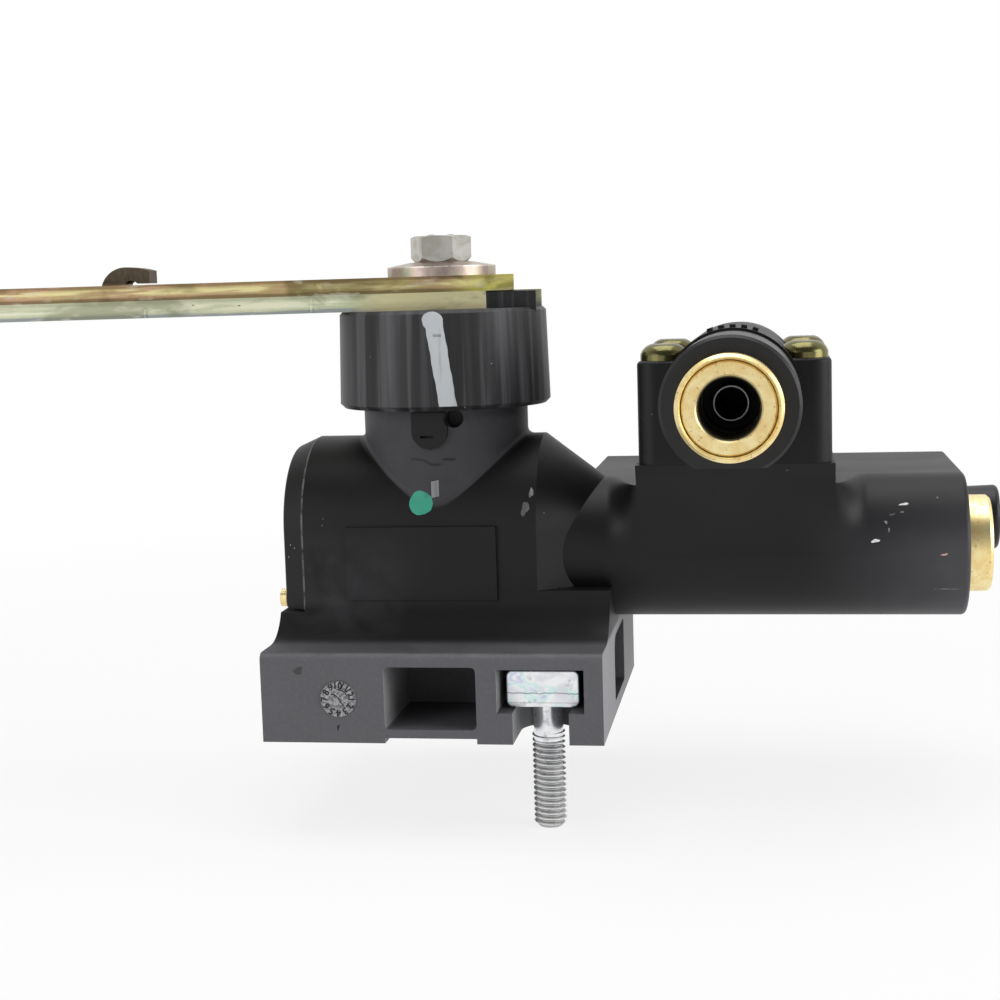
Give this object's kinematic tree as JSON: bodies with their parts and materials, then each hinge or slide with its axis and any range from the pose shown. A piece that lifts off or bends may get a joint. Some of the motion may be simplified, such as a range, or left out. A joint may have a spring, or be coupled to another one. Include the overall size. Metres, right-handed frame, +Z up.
{
  "type": "leveling valve",
  "caption": "Air suspension leveling valve: moulded body on a T-bolt base, turning lever that moves a spool, manifold block and push-in tube ports.",
  "frame": {"origin": "on the flat underside of the base, below the lever's turning axis", "axes": "+X from the damper cap towards the supply port, +Y from the front face to the rear, +Z up along the lever's axis"},
  "size_m": [0.2689, 0.091, 0.1076],
  "materials": {
    "glass_filled_black": "satin moulded, glass filled",
    "sleeve_black": "smooth moulded",
    "yellow_zinc": "yellow passivated zinc on steel",
    "bright_zinc": "bright zinc",
    "brass": "turned",
    "steel": "ground",
    "rubber": "matt",
    "aluminium": "turned and anodised",
    "bearing_plastic": "natural bearing plastic"
  },
  "bodies": {
    "housing": {"bush_clip": "steel", "check_seat": "brass", "check_spring": "steel", "dump_port_grab_ring": "steel", "dump_port_retainer": "sleeve_black", "dump_port_tube_seal": "rubber", "dump_port_tube_support": "steel", "end_cap": "glass_filled_black", "end_cap_screws": "brass", "end_cap_seal": "rubber", "front_port_grab_ring": "steel", "front_port_retainer": "brass", "front_port_sleeve": "sleeve_black", "front_port_sleeve_seal": "rubber", "front_port_tube_seal": "rubber", "front_port_tube_support": "steel", "manifold_block": "glass_filled_black", "manifold_screws": "yellow_zinc", "manifold_seal": "rubber", "neck_bush": "bearing_plastic", "rear_port_grab_ring": "steel", "rear_port_retainer": "brass", "rear_port_sleeve": "sleeve_black", "rear_port_sleeve_seal": "rubber", "rear_port_tube_seal": "rubber", "rear_port_tube_support": "steel", "shaft_seal": "rubber", "supply_filter": "steel", "supply_port_grab_ring": "steel", "supply_port_retainer": "brass", "supply_port_tube_seal": "rubber", "supply_port_tube_support": "steel", "thrust_washer": "bearing_plastic", "valve_body": "glass_filled_black"},
    "lever": {"lever_hub": "glass_filled_black", "control_shaft": "steel", "lever_lower_plate": "yellow_zinc", "lever_upper_plate": "yellow_zinc", "cone_washer": "yellow_zinc", "lever_nut": "bright_zinc", "lever_clamp_bolt": "bright_zinc", "lever_clamp_nut": "bright_zinc"},
    "spool": {"spool": "aluminium", "spool_seals": "rubber", "damper_piston": "aluminium", "damper_ring": "rubber"},
    "check_poppet": {"check_poppet": "bearing_plastic"},
    "front_port_collet": {"front_port_collet": "brass"},
    "rear_port_collet": {"rear_port_collet": "brass"},
    "supply_port_collet": {"supply_port_collet": "brass"},
    "dump_port_collet": {"dump_port_collet": "sleeve_black"},
    "t_bolt_front": {"t_bolt_front": "bright_zinc"}
  },
  "joints": [
    {"name": "lever_turn", "type": "hinge", "parent": "housing", "child": "lever", "pos_m": [0, 0, 0.0762], "axis": [0, 0, 1], "range_deg": [-45, 45]},
    {"name": "spool_slide", "type": "slide", "parent": "housing", "child": "spool", "axis": [1, 0, 0], "range_m": [-0.00213, 0.00213]},
    {"name": "check_poppet_slide", "type": "slide", "parent": "housing", "child": "check_poppet", "axis": [-1, 0, 0], "range_m": [0, 0.0015], "stiffness_N_per_m": 120, "springref_m": -0.0005, "deforming": ["check_spring"]},
    {"name": "front_collet_press", "type": "slide", "parent": "housing", "child": "front_port_collet", "axis": [0, 1, 0], "range_m": [0, 0.0014], "stiffness_N_per_m": 1500},
    {"name": "rear_collet_press", "type": "slide", "parent": "housing", "child": "rear_port_collet", "axis": [0, -1, 0], "range_m": [0, 0.0014], "stiffness_N_per_m": 1500},
    {"name": "supply_collet_press", "type": "slide", "parent": "housing", "child": "supply_port_collet", "axis": [-1, 0, 0], "range_m": [0, 0.0014], "stiffness_N_per_m": 1500},
    {"name": "dump_collet_press", "type": "slide", "parent": "housing", "child": "dump_port_collet", "axis": [-1, 0, 0], "range_m": [0, 0.0012], "stiffness_N_per_m": 1500},
    {"name": "front_t_bolt_slide", "type": "slide", "parent": "housing", "child": "t_bolt_front", "axis": [0, -1, 0], "range_m": [0, 0.01]}
  ],
  "couplings": [
    {"joint": "spool_slide", "follows": "lever_turn", "m_per_rad": 0.0027009}
  ]
}
